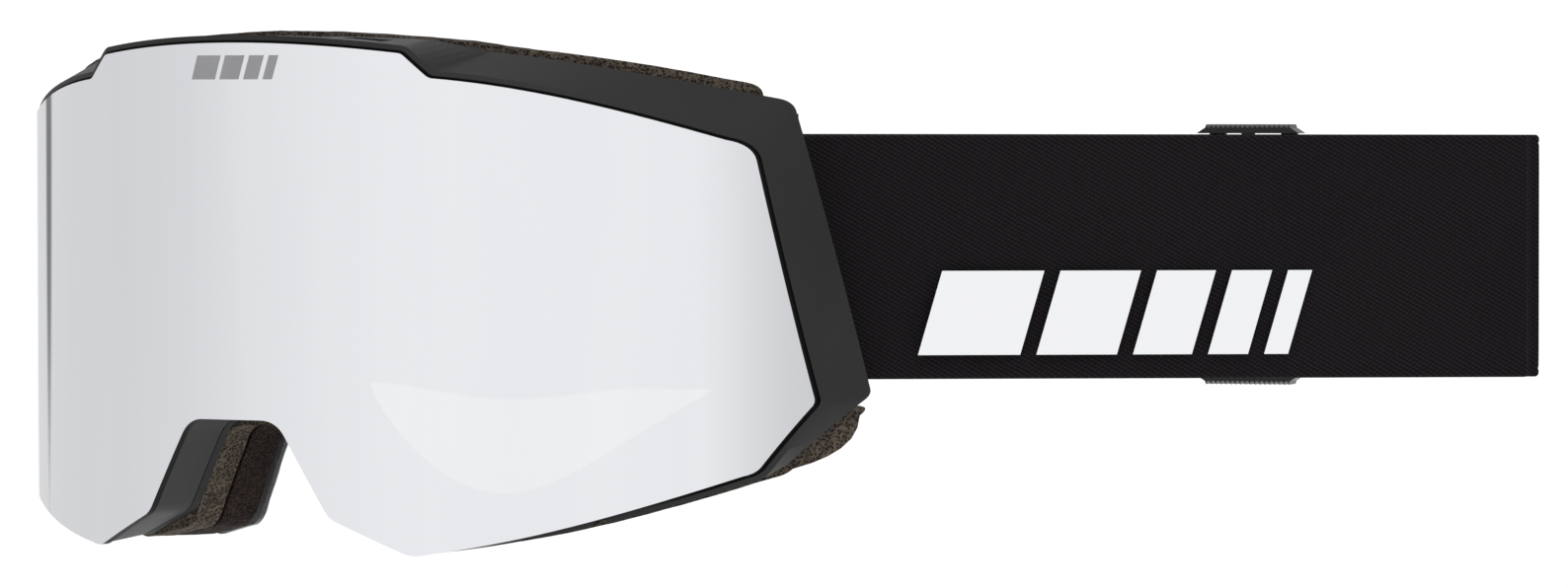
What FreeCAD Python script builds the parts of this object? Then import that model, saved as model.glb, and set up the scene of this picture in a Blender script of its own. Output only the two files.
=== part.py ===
"""Ski goggles with a one-piece cylindrical lens and a folded elastic strap.

Frame: +Y points from the goggles to the face, +X to the wearer's left, +Z up.
The origin lies on the face contact surface, at the middle of the goggles.
All lengths are millimetres, and the driving ones live in the sheet below.
"""
import FreeCAD, Part
import math
import os

V = FreeCAD.Vector
doc = FreeCAD.newDocument("ski_goggles")
sheet = doc.addObject("Spreadsheet::Sheet", "dims")

DIMENSIONS = {
    "lens_radius": 98.0,
    "lens_axis_y": 65.0,
    "lens_thick": 1.4,
    "gasket_thick": 4.0,
    "inner_lens_thick": 1.0,
    "inner_lens_inset": 12.5,
    "gasket_width": 4.0,
    "lug_depth": 3.4,
    "lug_long": 5.5,
    "lug_high": 1.5,
    "seat_gap": 0.3,
    "rim_width": 1.6,
    "ledge_width": 3.6,
    "ledge_root": 0.8,
    "ledge_thick": 1.2,
    "wall_thick": 2.0,
    "lip_high": 1.2,
    "low_seat_inset": 0.9,
    "low_rim_inset": 0.25,
    "low_root_inset": 2.2,
    "face_axis_y": 83.0,
    "face_radius": 83.0,
    "flange_radius": 101.0,
    "flange_thick": 1.8,
    "glue_line": 0.2,
    "base_foam_thick": 6.5,
    "fleece_thick": 2.0,
    "strap_width": 45.0,
    "strap_bottom": -16.0,
    "strap_thick": 1.5,
    "layer_pitch": 1.9,
    "fold_spot_x": 182.9,
    "fold_spot_y": 125.1,
    "fold_radius": 2.4,
    "pivot_spot_x": 79.0,
    "pivot_spot_y": 27.6,
    "bar_spot_x": 76.6,
    "bar_spot_y": 32.9,
    "bar_radius": 1.8,
    "pin_radius": 1.2,
    "pin_clearance": 0.05,
    "hub_radius": 2.6,
    "arm_thick": 1.8,
    "arm_gap": 0.3,
    "lug_thick": 1.6,
    "slider_along": 16.7,
    "slider_from_fold": 53.7,
    "slider_proud": 1.7,
    "emblem_low": -11.5,
    "emblem_high": 4.0,
    "emblem_slant": 4.5,
    "arm_play": 0.2,
    "vent_long": 9.0,
    "vent_wide": 4.0,
}
for row, (alias, size) in enumerate(DIMENSIONS.items(), start=1):
    sheet.set(f"A{row}", alias)
    sheet.set(f"B{row}", str(size))
    sheet.setAlias(f"B{row}", alias)
doc.recompute()


def size(alias):
    """The value of one cell of the sheet."""
    return float(getattr(sheet, alias))


# Half outlines seen from the front, from the top centre round to the middle of the
# nose arch. Each corner is x, z, its rounding radius and the bow of the side after it.
LENS_EDGE = [
    (0, 45.9, 0, 0.5),
    (34.2, 43.9, 2, 0),
    (38.9, 39.5, 2.5, 1.9),
    (83.6, 27.4, 4.5, 0),
    (89.6, -19.8, 3, 0),
    (83.9, -32.5, 3, 1.9),
    (36.5, -47.6, 6, 0),
    (20.8, -40.6, 5, 0),
    (10.1, -23.0, 6, 0),
    (0, -23.0, 0, 0),
]
FRAME_REAR = [
    (0, 47.2, 0, 0.2),
    (31, 46.5, 8, 0),
    (42, 44.3, 8, 0.8),
    (83.4, 35.4, 3, 0.3),
    (91.2, -18.6, 3, 0),
    (82.2, -31.9, 4, 1.2),
    (36.4, -46.4, 6, 0),
    (21.4, -40.8, 5, 0),
    (11.4, -23.5, 6, 0),
    (0, -23.5, 0, 0),
]
FLANGE_INNER = [
    (0, 38.0, 0, 0.2),
    (30, 37.3, 8, 0),
    (41, 35.7, 8, 0.5),
    (74.0, 28.5, 5, 0),
    (77.0, -14.0, 3, 0),
    (73.5, -23.5, 4, 0.8),
    (41.0, -34.2, 6, 0),
    (33.0, -31.5, 5, 0),
    (21.5, -15.0, 6, 0),
    (0, -13.5, 0, 0),
]
FOAM_OUTER = [
    (0, 48.2, 0, 0.2),
    (34, 46.4, 8, 0),
    (46, 44.8, 8, 0.8),
    (80.5, 38.3, 3, 0),
    (80.0, -20.6, 1.5, 0),
    (92.2, -22.6, 1.3, 1.2),
    (83.0, -33.2, 4, 1.7),
    (38.0, -46.6, 6, 0),
    (23.2, -43.9, 5, 0),
    (12.4, -24.6, 6, 0),
    (0, -24.6, 0, 0),
]
FOAM_INNER = [
    (0, 37.5, 0, 0.2),
    (30, 36.8, 8, 0),
    (42, 35.2, 8, 0.5),
    (71.5, 28.5, 6, 0),
    (73.0, -12.0, 2, 0),
    (74.0, -16.5, 2, 0),
    (72.0, -23.5, 4, 0.8),
    (42.0, -33.5, 6, 0),
    (34.0, -31.0, 5, 0),
    (22.0, -14.5, 6, 0),
    (0, -13.0, 0, 0),
]
LOBE = 6  # the corner at the bottom of each lens lobe: the frame's lip ends there


def lens_y(x, depth=0.0):
    """Y of the lens surface, or of the surface that lies depth behind it."""
    radius = size("lens_radius") - depth
    return size("lens_axis_y") - math.sqrt(radius * radius - x * x)


def face_spot(across, z, radius):
    """A point of the face cylinder family: across is its x at the flange radius."""
    turn = math.asin(across / size("flange_radius"))
    return V(radius * math.sin(turn), size("face_axis_y") - radius * math.cos(turn), z)


def unit(x, z):
    long = math.hypot(x, z)
    return x / long, z / long


def corner_ends(corners, i):
    """Where the rounding of corner i starts and ends, on its two straight sides."""
    x, z, radius, _ = corners[i]
    if radius == 0:
        return (x, z), (x, z)
    ux, uz = unit(corners[i - 1][0] - x, corners[i - 1][1] - z)
    vx, vz = unit(corners[i + 1][0] - x, corners[i + 1][1] - z)
    half = math.acos(max(-1, min(1, ux * vx + uz * vz))) / 2
    run = radius / math.tan(half)
    return (x + ux * run, z + uz * run), (x + vx * run, z + vz * run)


def rounding(corners, i, part):
    """A point of the rounding of corner i, part of the way along it."""
    start, end = corner_ends(corners, i)
    x, z = corners[i][:2]
    a, b, c = (1 - part) ** 2, 2 * part * (1 - part), part**2
    return a * start[0] + b * x + c * end[0], a * start[1] + b * z + c * end[1]


def side(corners, i, part):
    """A point of the side from corner i to the next, part of the way along it."""
    a = corner_ends(corners, i)[1]
    b = corner_ends(corners, i + 1)[0]
    tx, tz = unit(b[0] - a[0], b[1] - a[1])
    bow = 4 * corners[i][3] * part * (1 - part)
    return a[0] + (b[0] - a[0]) * part - tz * bow, a[1] + (b[1] - a[1]) * part + tx * bow


SIDE_STEPS = [4, 1, 5, 4, 2, 5, 2, 3, 2, 0]


def trace(corners, steps=None):
    """Points along a half outline, the same number for every outline of one length."""
    steps = steps or SIDE_STEPS
    points = [corners[0][:2]]
    for i in range(len(corners) - 1):
        for k in range(1, steps[i]):
            points.append(side(corners, i, k / steps[i]))
        if i + 1 < len(corners) - 1:
            points += [rounding(corners, i + 1, k / 3) for k in range(4)]
    points.append(corners[-1][:2])
    return points


def grown(corners, width, low_width=None):
    """A half outline's corners moved outwards by width, and by low_width from the lobe on."""
    moved = []
    upper_width = width
    for i, (x, z, radius, bow) in enumerate(corners):
        width = upper_width if low_width is None or i < LOBE else low_width
        if i in (0, len(corners) - 1):
            moved.append((0, z + width if i == 0 else z - width, 0, bow))
            continue
        before, after = corners[i - 1], corners[i + 1]
        ax, az = unit(x - before[0], z - before[1])
        bx, bz = unit(after[0] - x, after[1] - z)
        scale = width / (1 + ax * bx + az * bz)
        convex = 1 if ax * bz - az * bx < 0 else -1
        new_radius = max(radius + convex * width, 1.0)
        moved.append((x - (az + bz) * scale, z + (ax + bx) * scale, new_radius, bow))
    return moved


def lip_shares():
    """How much of the lip each point of a traced outline has, from 1 to 0."""
    full = [1.0 if i < LOBE else 0.0 for i in range(len(LENS_EDGE))]
    shares = [full[0]]
    for i in range(len(full) - 1):
        for k in range(1, SIDE_STEPS[i]):
            share = full[i] + (full[i + 1] - full[i]) * k / SIDE_STEPS[i]
            shares.append(max(0.0, 4 * share - 3))
        if i + 1 < len(full) - 1:
            shares += [full[i + 1]] * 4
    return shares + [full[-1]]


def mirrored(section):
    return [V(-p.x, p.y, p.z) for p in section]


def ring(sections):
    """A closed ring through half a turn of sections and their mirror images."""
    full = sections + [mirrored(s) for s in sections[-2:0:-1]]
    wires = [Part.makePolygon(s + s[:1]) for s in full]
    solid = Part.makeLoft(wires, True, True, True)
    if not solid.Solids:
        solid = Part.makeSolid(Part.makeShell(solid.Faces))
    solid = solid.Solids[0]
    if solid.Volume < 0:
        solid.reverse()
    return solid


def outline_wire(width):
    """The whole lens outline at y = 0, grown by width, as lines and curves."""
    half = trace(grown(LENS_EDGE, width))
    loop = half + [(-x, z) for x, z in half[-2:0:-1]]
    return Part.makePolygon([V(x, 0, z) for x, z in loop + loop[:1]])


def feature(label, shape):
    """A sub-part whose shape is made by Part's own functions."""
    piece = doc.addObject("Part::Feature", label)
    piece.Shape = shape
    piece.Placement = FreeCAD.Placement()
    piece.Label = label
    return piece


def tube(name, outer_bound, inner_bound, axis_y, low, height):
    """An upright tube with its radii bound to the sheet."""
    shells = []
    for word, bound in (("outer", outer_bound), ("inner", inner_bound)):
        shell = doc.addObject("Part::Cylinder", f"{name}_{word}")
        shell.setExpression("Radius", bound)
        shell.setExpression("Placement.Base.y", axis_y)
        shell.Height = height
        shell.Placement.Base.z = low
        shells.append(shell)
    cut = doc.addObject("Part::Cut", f"{name}_tube")
    cut.Base, cut.Tool = shells
    return cut


def prism(name, wire, start, length):
    """A straight prism along +Y from a flat outline."""
    base = doc.addObject("Part::Feature", f"{name}_outline")
    base.Shape = Part.Face(wire)
    out = doc.addObject("Part::Extrusion", f"{name}_prism")
    out.Base = base
    out.DirMode = "Custom"
    out.Dir = V(0, 1, 0)
    out.LengthFwd = length
    out.Solid = True
    out.Placement.Base.y = start
    return out


def common(label, one, other):
    piece = doc.addObject("Part::Common", label)
    piece.Base, piece.Tool = one, other
    piece.Label = label
    return piece


PRISM_START = -60
PRISM_LENGTH = 120
TUBE_LOW = -60
TUBE_HEIGHT = 120
AXIS = "dims.lens_axis_y"
parts = []

# --- lens group -------------------------------------------------------------------
BACK_OF_LENS = "dims.lens_radius - dims.lens_thick"
BACK_OF_GASKET = f"{BACK_OF_LENS} - dims.gasket_thick"
BACK_OF_INNER = f"{BACK_OF_GASKET} - dims.inner_lens_thick"


def lens_layer(label, outer_bound, inner_bound, wire):
    """A curved sheet: a tube inside the prism of an outline."""
    sheet_tube = tube(label, outer_bound, inner_bound, AXIS, TUBE_LOW, TUBE_HEIGHT)
    return common(label, sheet_tube, prism(label, wire, PRISM_START, PRISM_LENGTH))


inset = size("inner_lens_inset")
parts.append(lens_layer("outer_lens", "dims.lens_radius", BACK_OF_LENS, outline_wire(0)))
parts.append(lens_layer("inner_lens", BACK_OF_GASKET, BACK_OF_INNER, outline_wire(-inset)))
gasket_sheet = lens_layer("gasket_sheet", BACK_OF_LENS, BACK_OF_GASKET, outline_wire(-inset))
gasket_room = prism("gasket_room", outline_wire(-inset - size("gasket_width")), PRISM_START, PRISM_LENGTH)
gasket = doc.addObject("Part::Cut", "lens_spacer_gasket")
gasket.Base, gasket.Tool = gasket_sheet, gasket_room
gasket.Label = "lens_spacer_gasket"
parts.append(gasket)


def lens_lugs():
    """Four lugs on the back of the lens, which snap in behind the frame's ledge."""
    radius = size("lens_radius") - size("lens_thick")
    depth = size("lug_depth")
    shell = Part.makeCylinder(radius, TUBE_HEIGHT, V(0, size("lens_axis_y"), TUBE_LOW))
    shell = shell.cut(Part.makeCylinder(radius - depth, TUBE_HEIGHT, V(0, size("lens_axis_y"), TUBE_LOW)))
    lugs = []
    for x, z in ((44, 31.6), (-49.5, 31.6), (37, -41.6), (-42.5, -41.6)):
        block = Part.makeBox(size("lug_long"), 60, size("lug_high"), V(x, -40, z))
        lugs.append(shell.common(block).Solids[0])
    return Part.makeCompound(lugs)


parts.append(feature("lens_snap_lugs", lens_lugs()))


# --- frame ------------------------------------------------------------------------
def frame_sections():
    """Sections of the frame: sloping wall, rim round the lens and ledge behind it."""
    gap, rim, ledge = size("seat_gap"), size("rim_width"), size("ledge_width")
    front_of_ledge = size("lens_thick") + gap
    back_of_ledge = front_of_ledge + size("ledge_thick")
    lip_high = size("lip_high")
    rear_radius = size("flange_radius") + size("flange_thick") + size("glue_line")
    rows = zip(
        trace(grown(LENS_EDGE, gap, -size("low_seat_inset"))),
        trace(grown(LENS_EDGE, rim, -size("low_rim_inset"))),
        trace(FRAME_REAR),
        trace(grown(FRAME_REAR, -size("wall_thick"))),
        trace(grown(LENS_EDGE, -size("ledge_root"), -size("low_root_inset"))),
        trace(grown(LENS_EDGE, -ledge)),
        lip_shares(),
    )
    sections = []
    for seat, ridge, rear, rear_in, root, inner, lip in rows:
        sections.append(
            [
                V(seat[0], lens_y(seat[0], front_of_ledge - 0.02 - lip_high * lip), seat[1]),
                V(ridge[0], lens_y(ridge[0], front_of_ledge + 0.3 - lip_high * lip), ridge[1]),
                face_spot(rear[0], rear[1], rear_radius),
                face_spot(rear_in[0], rear_in[1], rear_radius),
                V(root[0], lens_y(root[0], back_of_ledge), root[1]),
                V(inner[0], lens_y(inner[0], back_of_ledge), inner[1]),
                V(inner[0], lens_y(inner[0], front_of_ledge), inner[1]),
                V(seat[0], lens_y(seat[0], front_of_ledge), seat[1]),
            ]
        )
    return sections


def vent_slots():
    """Slots through the brow at its middle and through the floor of each side."""
    long, wide = size("vent_long"), size("vent_wide")
    slots = []
    for k in range(-2, 3):
        x = k * (long + 3)
        slots.append(Part.makeBox(long, wide, 12, V(x - long / 2, lens_y(x) + 5, 40)))
    for side_sign in (1, -1):
        for x in (46, 57, 68):
            start = x if side_sign > 0 else -x - long + 1
            slots.append(Part.makeBox(long - 1, wide, 14, V(start, lens_y(x + 4) + 4.3, -52)))
    return slots


frame = ring(frame_sections())
for slot in vent_slots():
    frame = frame.cut(slot)
parts.append(feature("frame_shell", frame.Solids[0]))


def band_ring(outer, inner, front_radius, rear_radius, steps=None):
    """A ring between two outlines and two cylinders round the face axis."""
    sections = []
    for a, b in zip(trace(outer, steps), trace(inner, steps)):
        sections.append(
            [
                face_spot(a[0], a[1], front_radius),
                face_spot(a[0], a[1], rear_radius),
                face_spot(b[0], b[1], rear_radius),
                face_spot(b[0], b[1], front_radius),
            ]
        )
    return ring(sections)


pivot_x, pivot_y = size("pivot_spot_x"), size("pivot_spot_y")
strap_low = size("strap_bottom")
strap_high = strap_low + size("strap_width")
arm_low = strap_low - size("arm_gap") - size("arm_thick")
arm_high = strap_high + size("arm_gap")
lug_spots = (
    arm_low - size("arm_play") - size("lug_thick"),
    arm_high + size("arm_thick") + size("arm_play"),
)


def flange_shape():
    """The rear flange with a pair of drilled lugs for each hinge pin."""
    front = size("flange_radius") + size("flange_thick")
    shape = band_ring(FRAME_REAR, FLANGE_INNER, front, size("flange_radius"))
    reach = math.hypot(pivot_x, size("face_axis_y") - pivot_y)
    turn = math.degrees(math.asin(pivot_x / reach))
    depth = size("flange_radius") + 0.9 - reach + size("hub_radius")
    for sign in (1, -1):
        for z in lug_spots:
            lug = Part.makeBox(5.2, depth, size("lug_thick"), V(-2.6, -size("flange_radius") - 0.9, z))
            lug.rotate(V(0, 0, 0), V(0, 0, 1), sign * turn)
            lug.translate(V(0, size("face_axis_y"), 0))
            shape = shape.fuse(lug)
            bore = Part.makeCylinder(size("pin_radius"), size("lug_thick"), V(sign * pivot_x, pivot_y, z))
            shape = shape.cut(bore)
    return shape.Solids[0]


parts.append(feature("face_flange", flange_shape()))

# --- face foam --------------------------------------------------------------------
FOAM_STEPS = [4, 1, 5, 5, 1, 2, 5, 2, 3, 2, 0]
foam_front = size("flange_radius") - size("glue_line")
foam_middle = foam_front - size("base_foam_thick")
fleece_front = size("face_radius") + size("fleece_thick")
gap = size("glue_line")
for label, front, rear in (
    ("foam_base_layer", foam_front, foam_middle),
    ("foam_comfort_layer", foam_middle - gap, fleece_front + gap),
    ("fleece_lining", fleece_front, size("face_radius")),
):
    parts.append(feature(label, band_ring(FOAM_OUTER, FOAM_INNER, front, rear, FOAM_STEPS)))


def vent_foam(outline, front_depth, rear_depth):
    """A thin filter strip: an XZ outline cut from a tube behind the lens."""
    outer = size("lens_radius") - front_depth
    inner = size("lens_radius") - rear_depth
    base = V(0, size("lens_axis_y"), TUBE_LOW)
    shell = Part.makeCylinder(outer, TUBE_HEIGHT, base).cut(Part.makeCylinder(inner, TUBE_HEIGHT, base))
    face = Part.Face(Part.makePolygon([V(x, -60, z) for x, z in outline + outline[:1]]))
    return shell.common(face.extrude(V(0, 120, 0))).Solids[0]


top_strip = [(-30, 40.2), (-30, 42.2), (30, 42.2), (30, 40.2)]
parts.append(feature("top_vent_foam", vent_foam(top_strip, 3.6, 9.5)))
for word, sign in (("left", 1), ("right", -1)):
    strip = [(44 * sign, -41.6), (70 * sign, -33.0), (70 * sign, -31.3), (44 * sign, -39.9)]
    parts.append(feature(f"bottom_vent_foam_{word}", vent_foam(strip, 3.6, 6.0)))


# --- strap brackets and their pins ------------------------------------------------
def body(label):
    made = doc.addObject("PartDesign::Body", label)
    made.Label = label
    return made


def sketch_on(owner, name, plane_role, shapes, offset=0.0):
    """A sketch on one of the body's own planes, shifted along the plane's normal."""
    sketch = owner.newObject("Sketcher::SketchObject", name)
    plane = [f for f in owner.Origin.OriginFeatures if f.Role == plane_role][0]
    sketch.AttachmentSupport = [(plane, "")]
    sketch.MapMode = "FlatFace"
    sketch.AttachmentOffset = FreeCAD.Placement(V(0, 0, offset), FreeCAD.Rotation())
    for shape in shapes:
        sketch.addGeometry(shape, False)
    return sketch


def pad(owner, name, shapes, offset, bound):
    """A pad from a sketch on the XY plane, its length bound to the sheet."""
    made = owner.newObject("PartDesign::Pad", name)
    made.Profile = sketch_on(owner, f"{name}_sketch", "XY_Plane", shapes, offset)
    made.setExpression("Length", bound)
    owner.Tip = made
    doc.recompute()
    return made


def circle(x, y, radius):
    return Part.Circle(V(x, y, 0), V(0, 0, 1), radius)


def link_outline(a, ra, b, rb):
    """A flat link round two centres: two arcs and the two lines that touch both."""
    gap_long = math.hypot(b[0] - a[0], b[1] - a[1])
    along = math.atan2(b[1] - a[1], b[0] - a[0])
    lean = math.acos((ra - rb) / gap_long)

    def spot(centre, radius, turn):
        return V(centre[0] + radius * math.cos(turn), centre[1] + radius * math.sin(turn), 0)

    a_left, a_right = spot(a, ra, along + lean), spot(a, ra, along - lean)
    b_left, b_right = spot(b, rb, along + lean), spot(b, rb, along - lean)
    return [
        Part.Arc(a_left, spot(a, ra, along + math.pi), a_right),
        Part.LineSegment(a_right, b_right),
        Part.Arc(b_right, spot(b, rb, along), b_left),
        Part.LineSegment(b_left, a_left),
    ]


def bracket(word, sign):
    """Two arms on the hinge pin, joined by the round bar that the strap loops over."""
    made = body(f"strap_bracket_{word}")
    hub = (sign * pivot_x, pivot_y)
    bar = (sign * size("bar_spot_x"), size("bar_spot_y"))
    arm = link_outline(hub, size("hub_radius"), bar, size("bar_radius") + 0.6)
    bar_bound = "dims.strap_width + 2 * dims.arm_gap + 2 * dims.arm_thick"
    pad(made, f"bar_{word}", [circle(*bar, size("bar_radius"))], arm_low, bar_bound)
    pad(made, f"low_arm_{word}", arm, arm_low, "dims.arm_thick")
    pad(made, f"top_arm_{word}", arm, arm_high, "dims.arm_thick")
    before = made.Shape.Volume
    bore_radius = size("pin_radius") + size("pin_clearance")
    bore = made.newObject("PartDesign::Pocket", f"pin_bore_{word}")
    bore.Profile = sketch_on(made, f"pin_bore_{word}_sketch", "XY_Plane", [circle(*hub, bore_radius)], arm_low)
    bore.Type = "ThroughAll"
    bore.Reversed = True
    made.Tip = bore
    doc.recompute()
    assert made.Shape.Volume < before - 1, "the pin bore cut nothing"
    return made


def hinge_pin(word, sign):
    """A steel pin through both arms and both lugs."""
    made = body(f"hinge_pin_{word}")
    low = lug_spots[0]
    bound = "dims.strap_width + 2 * dims.arm_gap + 2 * (dims.arm_thick + dims.arm_play + dims.lug_thick)"
    spot = circle(sign * pivot_x, pivot_y, size("pin_radius"))
    pad(made, f"shank_{word}", [spot], low, bound)
    return made


for word, sign in (("left", 1), ("right", -1)):
    parts.append(bracket(word, sign))
    parts.append(hinge_pin(word, sign))


# --- strap ------------------------------------------------------------------------
thick = size("strap_thick")
wrap = size("bar_radius") + 0.15 + thick / 2
pitch = size("layer_pitch")


def flat(x, y):
    return V(x, y, 0)


def unit_between(a, b):
    d = b - a
    d.normalize()
    return d


def turned(d, degrees):
    return FreeCAD.Rotation(V(0, 0, 1), degrees).multVec(d)


def rounded_path(points, radii):
    """Straight runs with a tangent arc at each inner point."""
    edges = []
    last = points[0]
    for i in range(1, len(points) - 1):
        back = unit_between(points[i], points[i - 1])
        on = unit_between(points[i], points[i + 1])
        half = back.getAngle(on) / 2
        run = radii[i - 1] / math.tan(half)
        start, end = points[i] + back * run, points[i] + on * run
        middle_way = back + on
        middle_way.normalize()
        centre = points[i] + middle_way * (radii[i - 1] / math.sin(half))
        if (start - last).Length > 1e-4:
            edges.append(Part.LineSegment(last, start).toShape())
        edges.append(Part.Arc(start, centre - middle_way * radii[i - 1], end).toShape())
        last = end
    edges.append(Part.LineSegment(last, points[-1]).toShape())
    return Part.Wire(edges)


def webbing(points, radii, half_thick, low, high):
    """Flat webbing along a level path, standing on its edge."""
    edges = rounded_path(points, radii).Edges
    blocks = []
    for edge in edges:
        a, b = edge.firstVertex(True).Point, edge.lastVertex(True).Point
        ta, tb = edge.tangentAt(edge.FirstParameter), edge.tangentAt(edge.LastParameter)
        oa, ob = turned(ta, 90) * half_thick, turned(tb, 90) * half_thick
        if isinstance(edge.Curve, Part.Circle):
            middle = (edge.FirstParameter + edge.LastParameter) / 2
            m, om = edge.valueAt(middle), turned(edge.tangentAt(middle), 90) * half_thick
            one = Part.Arc(a + oa, m + om, b + ob).toShape()
            two = Part.Arc(b - ob, m - om, a - oa).toShape()
        else:
            one = Part.LineSegment(a + oa, b + ob).toShape()
            two = Part.LineSegment(b - ob, a - oa).toShape()
        caps = [Part.LineSegment(b + ob, b - ob).toShape(), Part.LineSegment(a - oa, a + oa).toShape()]
        face = Part.Face(Part.Wire([one, caps[0], two, caps[1]]))
        face.translate(V(0, 0, low))
        blocks.append(face.extrude(V(0, 0, high - low)))
    return blocks[0].multiFuse(blocks[1:]).Solids[0]


left_bar = flat(size("bar_spot_x"), size("bar_spot_y"))
right_bar = flat(-size("bar_spot_x"), size("bar_spot_y"))
fold = flat(size("fold_spot_x"), size("fold_spot_y"))

out_way = unit_between(left_bar, fold)
out_face = turned(out_way, -90)
main_start = left_bar + out_face * wrap
fold = main_start + out_way * out_way.dot(fold - main_start)
back_guess = unit_between(fold, right_bar)
fold_turn = math.degrees(math.atan2(back_guess.y, back_guess.x)) % 360
fold_turn -= math.degrees(math.atan2(out_way.y, out_way.x))
step_way = turned(out_way, fold_turn / 2)
step_long = 2.04 * size("fold_radius") * math.tan(math.radians(fold_turn / 4))
fold_back = fold + step_way * step_long
back_way = unit_between(fold_back, right_bar)
back_face = turned(back_way, -90)
back_main = right_bar + back_face * wrap
back_way = unit_between(fold_back, back_main)
back_face = turned(back_way, -90)

SEWN = 24.0
main_points = [
    main_start + out_way * SEWN - out_face * pitch,
    main_start + out_way * 14 - out_face * pitch,
    left_bar - out_face * wrap + out_way * 3,
    left_bar - out_face * wrap - out_way * wrap,
    left_bar + out_face * wrap - out_way * wrap,
    fold,
    fold_back,
    right_bar + back_face * wrap + back_way * wrap,
    right_bar + back_way * wrap,
]
main_radii = [8, 6, wrap, wrap, size("fold_radius"), size("fold_radius"), wrap - 0.02]
parts.append(feature("elastic_strap", webbing(main_points, main_radii, thick / 2, strap_low, strap_high)))

tail_side = back_face * -1
slide_spot = fold_back + back_way * size("slider_from_fold")
bar_half = 0.6
tail_wrap = bar_half + 0.15 + thick / 2
slide_bar = slide_spot + tail_side * (pitch + tail_wrap)
tail_points = [
    right_bar + back_way * wrap,
    right_bar + tail_side * wrap + back_way * wrap,
    right_bar + tail_side * wrap - back_way * 3,
    back_main + tail_side * pitch - back_way * 16,
    slide_spot + tail_side * pitch - back_way * (tail_wrap + 1.2),
    slide_spot + tail_side * (pitch + 2 * tail_wrap) - back_way * (tail_wrap + 1.2),
    slide_spot + tail_side * (pitch + 2 * tail_wrap) + back_way * 5,
    slide_spot + tail_side * (2 * pitch) + back_way * 12,
    slide_spot + tail_side * (2 * pitch) + back_way * (SEWN + 4),
]
tail_radii = [wrap - 0.02, 6, 8, tail_wrap, tail_wrap, 4, 8]
parts.append(feature("strap_adjusting_tail", webbing(tail_points, tail_radii, thick / 2, strap_low, strap_high)))


def slab(origin, along, away, long, deep, low, high):
    """An upright block from a corner: long along one way and deep along the other."""
    corners = [origin, origin + along * long, origin + along * long + away * deep, origin + away * deep]
    points = [c + V(0, 0, low) for c in corners]
    return Part.Face(Part.makePolygon(points + points[:1])).extrude(V(0, 0, high - low))


def ridged_rail(low, sign):
    """One end of the slider: a rail with fine grip ridges on its outer face."""
    ridges = 18
    half = size("slider_along") / 2
    tip = size("slider_proud")
    depth = 4.6
    front = slide_spot - tail_side * (thick / 2 + 0.3 + 1.6)
    profile = [(-half - 1.4, 0), (-half, tip * 0.55)]
    for k in range(ridges):
        x = -half + (k + 0.5) * 2 * half / ridges
        profile.append((x - 0.22, tip * 0.62))
        profile.append((x, tip))
        profile.append((x + 0.22, tip * 0.62))
    profile += [(half, tip * 0.55), (half + 1.4, 0)]
    points = [front + back_way * x + V(0, 0, low + sign * z) for x, z in profile]
    return Part.Face(Part.makePolygon(points + points[:1])).extrude(tail_side * (depth + 2.2))


def slider():
    """A three-bar slide: two outer bars behind the strap, a middle bar for its tail."""
    shape = ridged_rail(strap_high + 0.2, 1).fuse(ridged_rail(strap_low - 0.2, -1))
    half = size("slider_along") / 2
    outer = slide_spot - tail_side * (thick / 2 + 0.3 + 1.6)
    low, high = strap_low - 0.4, strap_high + 0.4
    for x in (-half, half - 3):
        shape = shape.fuse(slab(outer + back_way * x, back_way, tail_side, 3, 1.6, low, high))
    middle = slide_bar - tail_side * bar_half - back_way * 1.2
    return shape.fuse(slab(middle, back_way, tail_side, 2.4, 2 * bar_half, low, high)).removeSplitter()


parts.append(feature("strap_slider", slider()))


def stitch_rows(origin, along, face, first, rows):
    """Raised rows of thread across the strap on one of its faces."""
    threads = []
    margin, thread = 3.0, 0.35
    count = 12
    span = size("strap_width") - 2 * margin
    for row in range(rows):
        for k in range(count):
            low = strap_low + margin + k * span / count
            spot = origin + along * (first + 3 * row)
            threads.append(slab(spot, along, face, 0.6, thread, low, low + span / count - 1.0))
    return Part.makeCompound(threads)


sewn_face = main_start - out_face * (pitch + thick / 2)
parts.append(feature("strap_end_stitching", stitch_rows(sewn_face, out_way, out_face * -1, 16, 2)))
tail_face = slide_spot + tail_side * (2 * pitch + thick / 2)
parts.append(feature("tail_end_stitching", stitch_rows(tail_face, back_way, tail_side, 14, 3)))


def grip_lines():
    """Silicone beads along the inner face of the front half of the strap."""
    lines = []
    start = main_start - out_face * (thick / 2) + out_way * 36
    for z in (strap_low + 9, strap_low + 22, strap_low + 35):
        lines.append(slab(start, out_way, out_face * -1, 88, 0.5, z, z + 2))
    return Part.makeCompound(lines)


parts.append(feature("silicone_grip_lines", grip_lines()))


def emblem():
    """Raised slanted bars on the outer face of the strap, in place of a mark."""
    bars = []
    low, high, slant = size("emblem_low"), size("emblem_high"), size("emblem_slant")
    start = main_start + out_face * (thick / 2) + out_way * 25
    first = 0
    for wide in (19, 15, 11, 7.5, 4.5):
        corners = [(first, low), (first + wide, low), (first + wide + slant, high), (first + slant, high)]
        points = [start + out_way * x + V(0, 0, z) for x, z in corners]
        bars.append(Part.Face(Part.makePolygon(points + points[:1])).extrude(out_face * 0.6))
        first += wide + 3
    return Part.makeCompound(bars)


parts.append(feature("strap_emblem", emblem()))

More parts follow.
